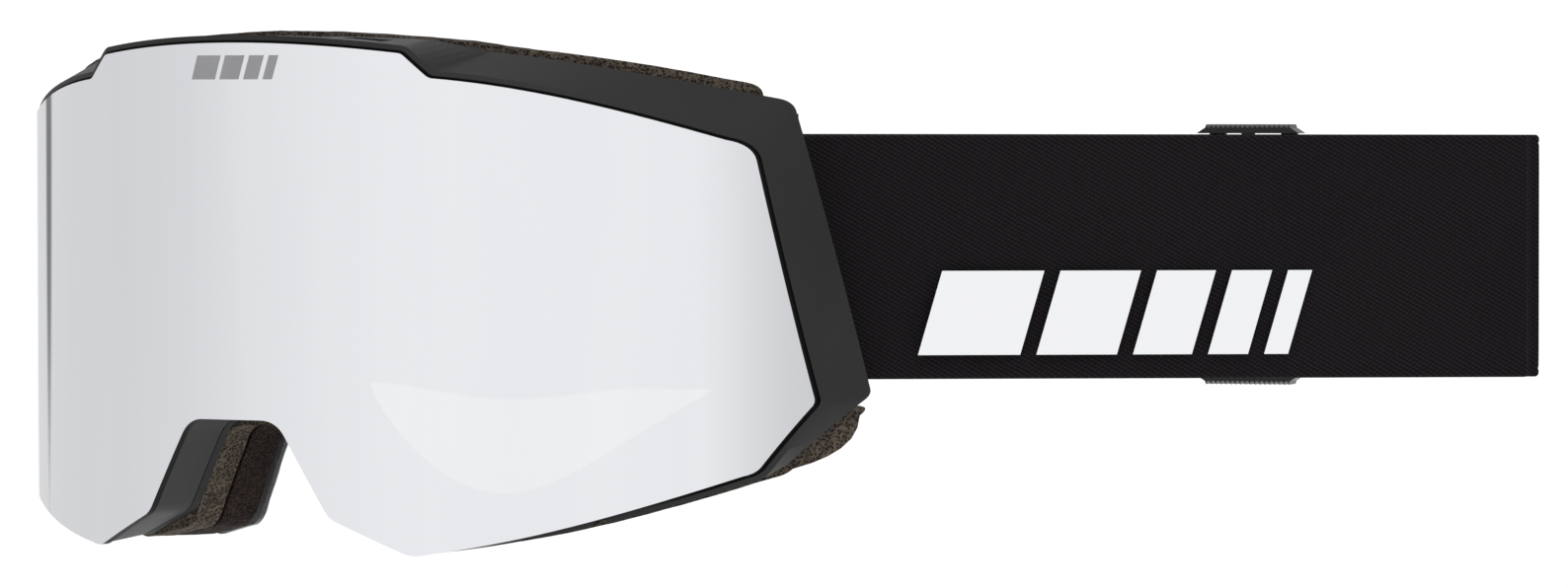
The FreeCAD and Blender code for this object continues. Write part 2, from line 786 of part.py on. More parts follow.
# --- checks and files -------------------------------------------------------------
doc.recompute()
for item in doc.Objects:
    assert not {"Invalid", "Error"} & set(item.State), f"{item.Name} failed: {item.State}"
os.makedirs("parts", exist_ok=True)
for piece in parts:
    shape = piece.Shape
    assert not shape.isNull() and shape.isValid(), f"{piece.Label} is not a valid shape"
    assert shape.Solids and shape.Volume > 0, f"{piece.Label} has no solid"
    box = shape.BoundBox
    print(f"{piece.Label:24s} {shape.Volume:10.1f} mm3  x {box.XMin:7.1f} {box.XMax:7.1f}"
          f"  y {box.YMin:7.1f} {box.YMax:7.1f}  z {box.ZMin:7.1f} {box.ZMax:7.1f}")
    shape.exportStep(f"parts/{piece.Label}.step")
spare = out_way.dot(fold - main_start)
print(f"front half of the strap {spare:.1f} mm, return half {(back_main - fold_back).Length:.1f} mm")
print(f"slide way {back_way}, slide spot {slide_spot}, left bar {left_bar}")
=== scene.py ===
"""The looks of the ski goggles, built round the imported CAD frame, in millimetres until a mesh is made."""
import math

import bmesh
import bpy
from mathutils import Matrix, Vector, noise


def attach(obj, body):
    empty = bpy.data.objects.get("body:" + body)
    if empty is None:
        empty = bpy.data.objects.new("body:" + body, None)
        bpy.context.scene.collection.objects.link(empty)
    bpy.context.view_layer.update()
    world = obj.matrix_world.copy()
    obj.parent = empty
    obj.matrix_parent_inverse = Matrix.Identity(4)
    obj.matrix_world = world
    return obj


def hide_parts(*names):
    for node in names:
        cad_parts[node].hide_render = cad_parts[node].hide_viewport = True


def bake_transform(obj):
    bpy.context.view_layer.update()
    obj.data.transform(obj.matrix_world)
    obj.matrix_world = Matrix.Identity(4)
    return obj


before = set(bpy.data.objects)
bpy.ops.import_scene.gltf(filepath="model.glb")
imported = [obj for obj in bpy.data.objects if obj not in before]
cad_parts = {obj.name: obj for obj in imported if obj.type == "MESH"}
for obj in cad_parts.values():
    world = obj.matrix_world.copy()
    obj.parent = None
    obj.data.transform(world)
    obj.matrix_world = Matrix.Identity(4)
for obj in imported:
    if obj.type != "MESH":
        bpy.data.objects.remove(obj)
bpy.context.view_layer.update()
scene = bpy.context.scene
MM = 0.001

# --- camera -----------------------------------------------------------------------
CAMERA_SPOT = Vector((0.9282, -1.2139, 0.0353))
CAMERA_TARGET = Vector((0.0835, 0.0240, 0.0))


def add_camera():
    """The camera, 34 degrees round to the wearer's left and a little above the goggles."""
    data = bpy.data.cameras.new("camera")
    data.lens = 188.5
    data.sensor_width = 36
    camera = bpy.data.objects.new("camera", data)
    camera.location = CAMERA_SPOT
    camera.rotation_euler = (CAMERA_TARGET - CAMERA_SPOT).to_track_quat("-Z", "Y").to_euler()
    scene.collection.objects.link(camera)
    scene.camera = camera


add_camera()

# --- outlines ---------------------------------------------------------------------
LENS_RADIUS, LENS_AXIS, LENS_THICK = 98.0, 65.0, 1.4
FACE_AXIS, FLANGE_RADIUS = 83.0, 101.0
WALL_RADIUS = 103.0

# Half outlines from the front: x, z, rounding radius and the bow of the side after it.
LENS_EDGE = [
    (0, 45.9, 0, 0.5), (34.2, 43.9, 2, 0), (38.9, 39.5, 2.5, 1.9), (83.6, 27.4, 4.5, 0),
    (89.6, -19.8, 3, 0), (83.9, -32.5, 3, 1.9), (36.5, -47.6, 6, 0), (20.8, -40.6, 5, 0),
    (10.1, -23.0, 6, 0), (0, -23.0, 0, 0),
]
FRAME_REAR = [
    (0, 47.2, 0, 0.2), (31, 46.5, 8, 0), (42, 44.3, 8, 0.8), (83.4, 35.4, 3, 0.3), (91.2, -18.6, 3, 0),
    (82.2, -31.9, 4, 1.2), (36.4, -46.4, 6, 0), (21.4, -40.8, 5, 0), (11.4, -23.5, 6, 0), (0, -23.5, 0, 0),
]
FOAM_OUTER = [
    (0, 48.2, 0, 0.2), (34, 46.4, 8, 0), (46, 44.8, 8, 0.8), (80.5, 38.3, 3, 0), (80.0, -20.6, 1.5, 0),
    (92.0, -20.6, 1.2, 2.0), (83.0, -33.2, 4, 1.7), (38.0, -46.6, 6, 0), (23.2, -43.9, 5, 0),
    (12.4, -24.6, 6, 0), (0, -24.6, 0, 0),
]
FOAM_INNER = [
    (0, 37.5, 0, 0.2), (30, 36.8, 8, 0), (42, 35.2, 8, 0.5), (71.5, 28.5, 6, 0), (73.0, -12.0, 2, 0),
    (74.0, -16.5, 2, 0), (72.0, -23.5, 4, 0.8), (42.0, -33.5, 6, 0), (34.0, -31.0, 5, 0),
    (22.0, -14.5, 6, 0), (0, -13.0, 0, 0),
]
SIDE_STEPS = [14, 4, 18, 16, 6, 18, 7, 8, 5, 0]
FOAM_STEPS = [14, 5, 14, 20, 4, 6, 18, 7, 8, 5, 0]
ROUND_STEPS = 8
LOBE = 6  # the corner at the bottom of each lens lobe: the frame's lip ends there


def unit(x, z):
    """A direction in the front view, made one long."""
    long = math.hypot(x, z)
    return x / long, z / long


def grown(corners, width, low_width=None):
    """A half outline's corners moved outwards by width, and by low_width from the lobe on."""
    moved = []
    upper_width = width
    for i, (x, z, radius, bow) in enumerate(corners):
        width = upper_width if low_width is None or i < LOBE else low_width
        if i in (0, len(corners) - 1):
            moved.append((0, z + width if i == 0 else z - width, 0, bow))
            continue
        before, after = corners[i - 1], corners[i + 1]
        ax, az = unit(x - before[0], z - before[1])
        bx, bz = unit(after[0] - x, after[1] - z)
        scale = width / (1 + ax * bx + az * bz)
        convex = 1 if ax * bz - az * bx < 0 else -1
        new_radius = max(radius + convex * width, 1.0)
        moved.append((x - (az + bz) * scale, z + (ax + bx) * scale, new_radius, bow))
    return moved


def corner_ends(corners, i):
    """Where the rounding of corner i starts and ends."""
    x, z, radius, _ = corners[i]
    if radius == 0:
        return (x, z), (x, z)
    ux, uz = unit(corners[i - 1][0] - x, corners[i - 1][1] - z)
    vx, vz = unit(corners[i + 1][0] - x, corners[i + 1][1] - z)
    half = math.acos(max(-1, min(1, ux * vx + uz * vz))) / 2
    run = radius / math.tan(half)
    return (x + ux * run, z + uz * run), (x + vx * run, z + vz * run)


def trace(corners, steps):
    """Points along a half outline, the same number for every outline of one length."""
    points = [corners[0][:2]]
    for i in range(len(corners) - 1):
        a, b = corner_ends(corners, i)[1], corner_ends(corners, i + 1)[0]
        tx, tz = unit(b[0] - a[0], b[1] - a[1])
        for k in range(1, steps[i]):
            t = k / steps[i]
            bow = 4 * corners[i][3] * t * (1 - t)
            x, z = a[0] + (b[0] - a[0]) * t, a[1] + (b[1] - a[1]) * t
            points.append((x - tz * bow, z + tx * bow))
        if i + 2 < len(corners):
            start, end = corner_ends(corners, i + 1)
            x, z = corners[i + 1][:2]
            for k in range(ROUND_STEPS + 1):
                t = k / ROUND_STEPS
                p, q, r = (1 - t) ** 2, 2 * t * (1 - t), t * t
                points.append((p * start[0] + q * x + r * end[0], p * start[1] + q * z + r * end[1]))
    points.append(corners[-1][:2])
    return points


def lip_shares():
    """How much of the lip each point of a traced frame outline has, from 1 to 0."""
    full = [1.0 if i < LOBE else 0.0 for i in range(len(LENS_EDGE))]
    shares = [full[0]]
    for i in range(len(full) - 1):
        for k in range(1, SIDE_STEPS[i]):
            share = full[i] + (full[i + 1] - full[i]) * k / SIDE_STEPS[i]
            shares.append(max(0.0, 4 * share - 3))
        if i + 2 < len(full):
            shares += [full[i + 1]] * (ROUND_STEPS + 1)
    return shares + [full[-1]]


def lens_spot(point, depth):
    """A point on the lens surface, or on the surface that lies depth behind it."""
    x, z = point
    radius = LENS_RADIUS - depth
    return Vector((x, LENS_AXIS - math.sqrt(radius * radius - x * x), z))


def face_spot(point, radius):
    """A point of the face cylinder family: its x is measured at the flange radius."""
    turn = math.asin(point[0] / FLANGE_RADIUS)
    return Vector((radius * math.sin(turn), FACE_AXIS - radius * math.cos(turn), point[1]))


# --- meshes -----------------------------------------------------------------------
def new_piece(name, points, faces, smooth_angle=35):
    """A mesh object from millimetre points, with outward normals."""
    mesh = bpy.data.meshes.new(name)
    mesh.from_pydata([Vector(p) * MM for p in points], [], faces)
    piece = bpy.data.objects.new(name, mesh)
    scene.collection.objects.link(piece)
    tidy = bmesh.new()
    tidy.from_mesh(mesh)
    bmesh.ops.remove_doubles(tidy, verts=tidy.verts, dist=1e-6)
    bmesh.ops.recalc_face_normals(tidy, faces=tidy.faces)
    tidy.to_mesh(mesh)
    tidy.free()
    mesh.shade_smooth()
    mesh.set_sharp_from_angle(angle=math.radians(smooth_angle))
    return piece


def ring_piece(name, sections, smooth_angle=35):
    """A closed ring through half a turn of sections and their mirror images."""
    half = [[Vector(p) for p in s] for s in sections]
    full = half + [[Vector((-p.x, p.y, p.z)) for p in s] for s in half[-2:0:-1]]
    n, m = len(full), len(full[0])
    points = [p for s in full for p in s]
    faces = []
    for i in range(n):
        for j in range(m):
            a, b = i * m + j, i * m + (j + 1) % m
            c, d = ((i + 1) % n) * m + (j + 1) % m, ((i + 1) % n) * m + j
            faces.append((a, b, c, d))
    return new_piece(name, points, faces, smooth_angle)


def bevel(piece, width, segments=2, angle=30):
    """Rounds every edge sharper than angle, width wide."""
    made = piece.modifiers.new("edge", "BEVEL")
    made.width = width * MM
    made.segments = segments
    made.limit_method = "ANGLE"
    made.angle_limit = math.radians(angle)
    made.harden_normals = False


def paint(piece, material):
    piece.data.materials.clear()
    piece.data.materials.append(material)


def settle(piece, body, slot, material, *nodes):
    """Body, finish and the CAD nodes that a new piece stands for."""
    if material:
        paint(piece, material)
    if body:
        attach(piece, body)
    if nodes:
        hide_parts(*nodes)
    return piece


# --- materials --------------------------------------------------------------------
class Shader:
    """A short way to write a node material."""

    def __init__(self, name, color, roughness, metallic=0.0, **extra):
        self.material = bpy.data.materials.new(name)
        self.material.use_nodes = True
        self.tree = self.material.node_tree
        self.bsdf = self.tree.nodes["Principled BSDF"]
        self.bsdf.inputs["Base Color"].default_value = (*color, 1)
        self.bsdf.inputs["Roughness"].default_value = roughness
        self.bsdf.inputs["Metallic"].default_value = metallic
        for socket, value in extra.items():
            self.bsdf.inputs[socket.replace("_", " ")].default_value = value

    def node(self, kind, **values):
        made = self.tree.nodes.new(kind)
        for key, value in values.items():
            if key in made.inputs:
                made.inputs[key].default_value = value
            else:
                setattr(made, key, value)
        return made

    def link(self, start, end):
        self.tree.links.new(start, end)

    def place(self, turn=0.0, scale=(1, 1, 1)):
        """Object coordinates turned about Z so that X runs along the piece."""
        coordinates = self.node("ShaderNodeTexCoord")
        mapping = self.node("ShaderNodeMapping")
        mapping.inputs["Rotation"].default_value = (0, 0, -turn)
        mapping.inputs["Scale"].default_value = scale
        self.link(coordinates.outputs["Object"], mapping.inputs["Vector"])
        return mapping.outputs["Vector"]

    def noise(self, vector, scale, detail=3.0, roughness=0.6):
        made = self.node("ShaderNodeTexNoise")
        made.inputs["Scale"].default_value = scale
        made.inputs["Detail"].default_value = detail
        made.inputs["Roughness"].default_value = roughness
        self.link(vector, made.inputs["Vector"])
        return made.outputs["Fac"]

    def ramp(self, factor, *stops):
        made = self.node("ShaderNodeValToRGB")
        elements = made.color_ramp.elements
        while len(elements) < len(stops):
            elements.new(0.5)
        for element, (at, color) in zip(elements, stops):
            element.position = at
            element.color = (*color, 1) if len(color) == 3 else color
        self.link(factor, made.inputs["Fac"])
        return made.outputs["Color"]

    def math(self, how, a, b=None, c=None):
        made = self.node("ShaderNodeMath", operation=how)
        for socket, value in zip(made.inputs, (a, b, c)):
            if value is None:
                continue
            if isinstance(value, (int, float)):
                socket.default_value = value
            else:
                self.link(value, socket)
        return made.outputs["Value"]

    def bump(self, height, strength, distance):
        made = self.node("ShaderNodeBump")
        made.inputs["Strength"].default_value = strength
        made.inputs["Distance"].default_value = distance * MM
        self.link(height, made.inputs["Height"])
        self.link(made.outputs["Normal"], self.bsdf.inputs["Normal"])

    def color(self, socket):
        self.link(socket, self.bsdf.inputs["Base Color"])

    def rough(self, factor, low, high):
        made = self.node("ShaderNodeMapRange")
        made.inputs["To Min"].default_value = low
        made.inputs["To Max"].default_value = high
        self.link(factor, made.inputs["Value"])
        self.link(made.outputs["Result"], self.bsdf.inputs["Roughness"])


def grey(value):
    return (value, value, value * 1.03)


def moulded(name, value, roughness=0.48, grain=0.35, coat=0.0, gloss=0.35):
    """Matte moulded plastic: fine spark-eroded grain and slight scuffing."""
    s = Shader(name, grey(value), roughness, Specular_IOR_Level=gloss, Coat_Weight=coat,
               Coat_Roughness=0.2)
    at = s.place()
    fine = s.noise(at, 2600, 2)
    wear = s.noise(at, 45, 4)
    s.color(s.ramp(wear, (0.3, grey(value * 0.88)), (0.75, grey(value * 1.18))))
    s.rough(wear, roughness - 0.06, roughness + 0.1)
    s.bump(fine, grain, 0.05)
    return s.material


def foam(name, dark, light, cell, strength):
    """Open-cell foam: round pores painted dark as shade, with pale threads between them."""
    s = Shader(name, light, 0.97, Specular_IOR_Level=0.08)
    at = s.place()
    cells = s.node("ShaderNodeTexVoronoi", feature="F1")
    cells.inputs["Scale"].default_value = 1000 / cell
    s.link(at, cells.inputs["Vector"])
    patch = s.noise(at, 420, 3, 0.75)
    # The pores are coloured dark: painted shade in the cells' hollows. The pale threads are the foam's own
    # colour, varied at random by patch.
    pores = s.ramp(cells.outputs["Distance"], (0.12, (1, 1, 1)), (0.62, (0, 0, 0)))
    speck = s.math("MULTIPLY", s.math("SUBTRACT", 1.0, pores), patch)
    middle = tuple((a + b) / 2 for a, b in zip(dark, light))
    s.color(s.ramp(speck, (0.02, dark), (0.3, middle), (0.62, light)))
    s.bump(s.math("MULTIPLY_ADD", pores, -1.0, patch), strength, 0.35)
    return s.material


def webbing_cloth(name, turn):
    """Woven elastic: short slanted floats in rows that follow the strap's direction."""
    s = Shader(name, (0.01, 0.009, 0.012), 0.82, Specular_IOR_Level=0.1, Sheen_Weight=0.03,
               Sheen_Roughness=0.4, Sheen_Tint=(0.75, 0.68, 0.85, 1))
    at = s.place(turn)
    split = s.node("ShaderNodeSeparateXYZ")
    s.link(at, split.inputs["Vector"])
    along, up = split.outputs["X"], split.outputs["Z"]
    wobble = s.math("MULTIPLY", s.noise(at, 300, 2), 0.0003)
    rib = s.math("SINE", s.math("MULTIPLY", s.math("ADD", along, wobble), 2 * math.pi / 0.00062))
    slanted = s.math("MULTIPLY_ADD", along, 0.55, up)
    float_row = s.math("SINE", s.math("MULTIPLY", s.math("ADD", slanted, wobble), 2 * math.pi / 0.00085))
    crossed = s.math("MULTIPLY", rib, float_row)
    weave = s.math("MULTIPLY_ADD", crossed, 0.35, s.math("MULTIPLY", float_row, 0.3))
    height = s.math("ADD", s.math("MULTIPLY_ADD", s.noise(at, 1500, 2), 0.35, weave), 0.3)
    # The weave's colour follows its relief: darker in the hollows and lighter on the crests, painted shade
    # and painted highlight.
    deep, field, crest = (0.002, 0.0016, 0.002), (0.0062, 0.0048, 0.0058), (0.016, 0.0125, 0.015)
    relief_shade = s.ramp(height, (0.1, deep), (0.55, field), (0.95, crest))
    broad = s.noise(at, 22, 3)
    mix = s.node("ShaderNodeMix", data_type="RGBA", blend_type="MULTIPLY")
    mix.inputs["Factor"].default_value = 0.5
    s.link(relief_shade, mix.inputs["A"])
    s.link(s.ramp(broad, (0.3, (0.72, 0.7, 0.75)), (0.7, (1.0, 1.0, 1.0))), mix.inputs["B"])
    s.color(mix.outputs["Result"])
    s.bump(height, 0.75, 0.16)
    return s.material


def fleece_cloth():
    """Brushed fleece: a fine uneven nap with a soft sheen."""
    s = Shader("fleece", (0.02, 0.018, 0.02), 0.98, Sheen_Weight=0.8, Sheen_Roughness=0.45,
               Specular_IOR_Level=0.1)
    at = s.place()
    nap = s.noise(at, 900, 5, 0.8)
    s.color(s.ramp(nap, (0.25, (0.008, 0.008, 0.009)), (0.8, (0.045, 0.042, 0.046))))
    s.bump(nap, 0.7, 0.3)
    return s.material


def mirror_coat():
    """Silver coating: a clean mirror with a trace of upright streaking."""
    s = Shader("mirror_coat", (0.86, 0.87, 0.89), 0.02, metallic=1.0)
    at = s.place(scale=(1, 1, 0.12))
    streak = s.noise(at, 60, 2)
    s.color(s.ramp(streak, (0.2, (0.835, 0.84, 0.86)), (0.8, (0.875, 0.88, 0.895))))
    s.rough(streak, 0.012, 0.03)
    return s.material


def clear_coat():
    """Clear plastic with a slight, uneven haze."""
    s = Shader("inner_lens_clear", (0.93, 0.94, 0.95), 0.06, Transmission_Weight=0.82, IOR=1.49)
    at = s.place()
    s.rough(s.noise(at, 35, 3), 0.05, 0.12)
    return s.material


def metal(name, color, roughness):
    """Metal with a finely uneven polish."""
    s = Shader(name, color, roughness, metallic=1.0)
    at = s.place()
    s.rough(s.noise(at, 300, 3), roughness * 0.7, roughness * 1.5)
    return s.material


FRAME_PLASTIC = moulded("frame_plastic_matte", 0.011, 0.56, 0.35, 0.0, 0.25)
# Near-black finish for the lens's edge faces: painted shade for the dark shadow line along the lens edge.
LENS_EDGE_SHADE = moulded("lens_edge_painted_shade", 0.004, 0.5, 0.05, 0.0, 0.1)
SMOKE = moulded("lens_back_smoke", 0.05, 0.08, 0.0, 0.5, 0.5)
FLANGE_RUBBER = moulded("flange_rubber", 0.009, 0.65, 0.6, 0.0, 0.25)
CLIP_PLASTIC = moulded("clip_plastic", 0.012, 0.4, 0.3)
BROWN_FOAM = foam("brown_foam_cells", (0.006, 0.005, 0.0045), (0.105, 0.085, 0.066), 0.55, 0.9)
BLACK_FOAM = foam("black_foam_cells", (0.0015, 0.0012, 0.0012), (0.034, 0.024, 0.020), 0.42, 0.8)
FLEECE = fleece_cloth()
MIRROR = mirror_coat()
CLEAR = clear_coat()
GASKET = foam("gasket_closed_cells", (0.01, 0.01, 0.01), (0.03, 0.03, 0.031), 0.3, 0.3)
STEEL = metal("pin_steel", (0.55, 0.55, 0.57), 0.3)
CHROME = metal("emblem_chrome", (0.93, 0.93, 0.94), 0.07)
SILICONE = moulded("grip_silicone", 0.02, 0.18, 0.1, 0.5)
THREAD = moulded("stitch_thread", 0.02, 0.7, 1.0)


# --- lens group -------------------------------------------------------------------
def column_span(outline, x):
    """The lowest and highest z of a closed outline at one x."""
    heights = []
    for (ax, az), (bx, bz) in zip(outline, outline[1:] + outline[:1]):
        if (ax - x) * (bx - x) <= 0 and ax != bx:
            heights.append(az + (bz - az) * (x - ax) / (bx - ax))
    return min(heights), max(heights)


def lens_piece(name, corners, front_depth, back_depth, coats):
    """A curved sheet with its edge square to it; coats are its front, edge and back finishes."""
    half = trace(corners, SIDE_STEPS)
    outline = half + [(-x, z) for x, z in half[-2:0:-1]]
    widest = max(x for x, _ in half) - 0.01
    stops = {round(x, 3) for x, _ in half if x < widest}
    stops |= {widest * k / 90 for k in range(91)}
    stops = sorted(stops | {-x for x in stops})
    rows = 14
    points, faces = [], []
    for depth in (front_depth, back_depth):
        shrink = (LENS_RADIUS - depth) / (LENS_RADIUS - front_depth)
        for x in stops:
            low, high = column_span(outline, x)
            heights = [low + (high - low) * k / rows for k in range(rows + 1)]
            points += [lens_spot((x * shrink, z), depth) for z in heights]
    n, m = len(stops), rows + 1
    for layer in (0, n * m):
        for i in range(n - 1):
            for k in range(rows):
                a = layer + i * m + k
                faces.append((a, a + 1, a + m + 1, a + m))
    back = n * m
    for i in range(n - 1):
        for k in (0, rows):
            a, b = i * m + k, (i + 1) * m + k
            faces.append((a, b, b + back, a + back))
    for i in (0, n - 1):
        for k in range(rows):
            a = i * m + k
            faces.append((a, a + 1, a + 1 + back, a + back))
    piece = new_piece(name, points, faces, 40)
    for coat in coats:
        piece.data.materials.append(coat)
    for polygon in piece.data.polygons:
        centre = polygon.center / MM
        outward = Vector((centre.x, centre.y - LENS_AXIS, 0)).normalized()
        facing = polygon.normal.dot(outward)
        polygon.material_index = 0 if facing > 0.6 else 2 if facing < -0.6 else 1
    return piece


INSET = 12.5
GASKET_THICK = 4.0
INNER_THICK = 1.0
# The lens's edge faces take the near-black finish: painted shade along the lens edge.
lens = lens_piece("mirror_lens", LENS_EDGE, 0, LENS_THICK, (MIRROR, LENS_EDGE_SHADE, SMOKE))
settle(lens, "lens", "mirror_lens", None, "outer_lens")
back_depth = LENS_THICK + GASKET_THICK
inner_edge = grown(LENS_EDGE, -INSET)
inner = lens_piece("clear_inner_lens", inner_edge, back_depth, back_depth + INNER_THICK, (CLEAR,) * 3)
settle(inner, "lens", "clear_lens", None, "inner_lens")


def lens_print():
    """Small slanted bars printed on the lens under its top edge."""
    points, faces = [], []
    low, high, slant, steps = 39.2, 43.6, 1.4, 4
    first = -9.2
    for wide in (5.6, 4.4, 3.2, 2.0):
        for k in range(steps):
            a, b = first + wide * k / steps, first + wide * (k + 1) / steps
            start = len(points)
            for x, z in ((a, low), (b, low), (b + slant, high), (a + slant, high)):
                points.append(lens_spot((x, z), -0.04))
            faces.append((start, start + 1, start + 2, start + 3))
        first += wide + 1.1
    return new_piece("lens_print", points, faces)


PRINT_INK = moulded("print_ink", 0.22, 0.4, 0.1)
settle(lens_print(), "lens", "frame_plastic", PRINT_INK)


# --- frame ------------------------------------------------------------------------
LEDGE_FRONT, LEDGE_REAR = 1.7, 2.9
LIP_HIGH = 1.2
WALL_THICK = 2.0
LEDGE_WIDE = 3.6


def beside_lens(upper_width, low_width):
    """A traced outline that far outside the lens edge, measured along the lens surface."""
    edge = trace(LENS_EDGE, SIDE_STEPS)
    moved = trace(grown(LENS_EDGE, upper_width, low_width), SIDE_STEPS)
    line = []
    for (x, _), (far_x, far_z) in zip(edge, moved):
        slope = math.sqrt(1 - (x / LENS_RADIUS) ** 2)
        line.append((x + (far_x - x) * slope, far_z))
    return line


def frame_sections():
    """Sections of the frame: lip round the lens, sloping wall, and ledge behind the lens."""
    rows = zip(
        beside_lens(0.15, -0.9),
        beside_lens(0.5, -0.6),
        beside_lens(1.4, -0.25),
        trace(FRAME_REAR, SIDE_STEPS),
        trace(grown(FRAME_REAR, -WALL_THICK), SIDE_STEPS),
        trace(grown(LENS_EDGE, -0.8, -2.2), SIDE_STEPS),
        trace(grown(LENS_EDGE, -LEDGE_WIDE), SIDE_STEPS),
        lip_shares(),
    )
    sections = []
    for seat, lip, ridge, rear, rear_in, root, inner_edge, share in rows:
        sections.append(
            [
                lens_spot(seat, LEDGE_FRONT - 0.02 - 0.7 * share),
                lens_spot(lip, LEDGE_FRONT - 0.04 - LIP_HIGH * share),
                lens_spot(ridge, LEDGE_FRONT + 0.25 - LIP_HIGH * share),
                face_spot(rear, WALL_RADIUS),
                face_spot(rear_in, WALL_RADIUS),
                lens_spot(root, LEDGE_REAR),
                lens_spot(inner_edge, LEDGE_REAR),
                lens_spot(inner_edge, LEDGE_FRONT),
                lens_spot(seat, LEDGE_FRONT),
            ]
        )
    return sections


SLOT_LONG, SLOT_WIDE = 9, 4


def slot_boxes():
    """The vent slots of the brow and of the floor, as CAD has them."""
    boxes = []
    for k in range(-2, 3):
        x = k * (SLOT_LONG + 3)
        boxes.append(((x - SLOT_LONG / 2, lens_spot((x, 0), 0).y + 5, 40), (SLOT_LONG, SLOT_WIDE, 12)))
    for sign in (1, -1):
        for x in (46, 57, 68):
            start = x if sign > 0 else -x - SLOT_LONG + 1
            depth = lens_spot((x + 4, 0), 0).y + 4.3
            boxes.append(((start, depth, -52), (SLOT_LONG - 1, SLOT_WIDE, 14)))
    points, faces = [], []
    for (x, y, z), (w, d, h) in boxes:
        n = len(points)
        ends = [(i, j, k) for i in (0, 1) for j in (0, 1) for k in (0, 1)]
        points += [Vector((x + i * w, y + j * d, z + k * h)) for i, j, k in ends]
        quads = ((0, 1, 3, 2), (4, 6, 7, 5), (0, 4, 5, 1), (2, 3, 7, 6), (0, 2, 6, 4), (1, 5, 7, 3))
        faces += [tuple(n + i for i in q) for q in quads]
    return new_piece("slot_tools", points, faces)


def cut_by(piece, tool):
    """A boolean cut, applied, and the tool removed."""
    made = piece.modifiers.new("cut", "BOOLEAN")
    made.operation = "DIFFERENCE"
    made.solver = "EXACT"
    made.object = tool
    graph = bpy.context.evaluated_depsgraph_get()
    mesh = bpy.data.meshes.new_from_object(piece.evaluated_get(graph))
    piece.modifiers.clear()
    piece.data = mesh
    bpy.data.objects.remove(tool)


shell = ring_piece("frame_wall", frame_sections(), 28)
cut_by(shell, slot_boxes())
bevel(shell, 0.35, 3, 28)
settle(shell, "goggle_frame", "frame_plastic", FRAME_PLASTIC, "frame_shell")


# --- face foam --------------------------------------------------------------------
def foam_ring(name, front, rear, rough, seed, soft):
    """A foam layer with rear edges rounded by soft and the uneven skin of cut foam."""
    outer = trace(FOAM_OUTER, FOAM_STEPS)
    inner_line = trace(FOAM_INNER, FOAM_STEPS)
    outer_in = trace(grown(FOAM_OUTER, -soft), FOAM_STEPS)
    inner_out = trace(grown(FOAM_INNER, soft), FOAM_STEPS)
    sections = []
    for a, a_in, b, b_out in zip(outer, outer_in, inner_line, inner_out):
        wide = 6
        section = [face_spot(a, front)]
        for t in (0.25, 0.5, 0.75):
            section.append(face_spot(a, front + (rear + soft - front) * t))
        section += [face_spot(a, rear + soft), face_spot(a_in, rear)]
        for k in range(1, wide):
            t = k / wide
            middle = (a_in[0] + (b_out[0] - a_in[0]) * t, a_in[1] + (b_out[1] - a_in[1]) * t)
            section.append(face_spot(middle, rear))
        section += [face_spot(b_out, rear), face_spot(b, rear + soft)]
        for t in (0.75, 0.5, 0.25):
            section.append(face_spot(b, front + (rear + soft - front) * t))
        section.append(face_spot(b, front))
        for k in range(1, wide):
            t = 1 - k / wide
            middle = (a[0] + (b[0] - a[0]) * t, a[1] + (b[1] - a[1]) * t)
            section.append(face_spot(middle, front))
        sections.append(section)
    piece = ring_piece(name, sections, 60)
    for vertex in piece.data.vertices:
        spot = vertex.co * 900 + Vector((seed, seed, seed))
        vertex.co += Vector(noise.noise_vector(spot * 0.45)) * rough * MM
    return piece


BASE_FRONT, BASE_REAR = 100.8, 94.4
COMFORT_FRONT, COMFORT_REAR = 94.1, 85.2
FLEECE_FRONT, FLEECE_REAR = 85.0, 83.1
base = foam_ring("base_foam", BASE_FRONT, BASE_REAR, 0.10, 3, 0.5)
settle(base, "goggle_frame", "brown_foam", BROWN_FOAM, "foam_base_layer")
comfort = foam_ring("comfort_foam", COMFORT_FRONT, COMFORT_REAR, 0.14, 11, 1.6)
settle(comfort, "goggle_frame", "black_foam", BLACK_FOAM, "foam_comfort_layer")
fleece = foam_ring("face_fleece", FLEECE_FRONT, FLEECE_REAR, 0.10, 23, 0.9)
settle(fleece, "goggle_frame", "fleece", FLEECE, "fleece_lining")

# --- strap ------------------------------------------------------------------------
STRAP_LOW, STRAP_HIGH, STRAP_THICK = -16.0, 29.0, 1.5
LAYER_PITCH = 1.9
BAR = Vector((76.6, 32.9, 0))
BAR_RADIUS = 1.8
FOLD_SPOT = Vector((182.9, 125.1, 0))
FOLD_RADIUS = 2.4
SLIDER_FROM_FOLD = 53.7
WRAP = BAR_RADIUS + 0.15 + STRAP_THICK / 2


def turned(v, angle):
    c, s = math.cos(angle), math.sin(angle)
    return Vector((v.x * c - v.y * s, v.x * s + v.y * c, 0))


def rounded_path(points, radii, arc_steps=10, run_step=2.5):
    """Evenly divided straight runs with a tangent arc at each inner point."""
    path = [points[0]]

    def run_to(spot):
        start = path[-1]
        pieces = max(1, round((spot - start).length / run_step))
        path.extend(start.lerp(spot, k / pieces) for k in range(1, pieces + 1))

    for before, spot, after, radius in zip(points, points[1:], points[2:], radii):
        back, on = (before - spot).normalized(), (after - spot).normalized()
        half = back.angle(on) / 2
        run = radius / math.tan(half)
        middle = (back + on).normalized()
        centre = spot + middle * (radius / math.sin(half))
        start, end = spot + back * run, spot + on * run
        if (start - path[-1]).length > 1e-3:
            run_to(start)
        for k in range(1, arc_steps + 1):
            arm = (start - centre).slerp(end - centre, k / arc_steps)
            path.append(centre + arm)
    run_to(points[-1])
    return path


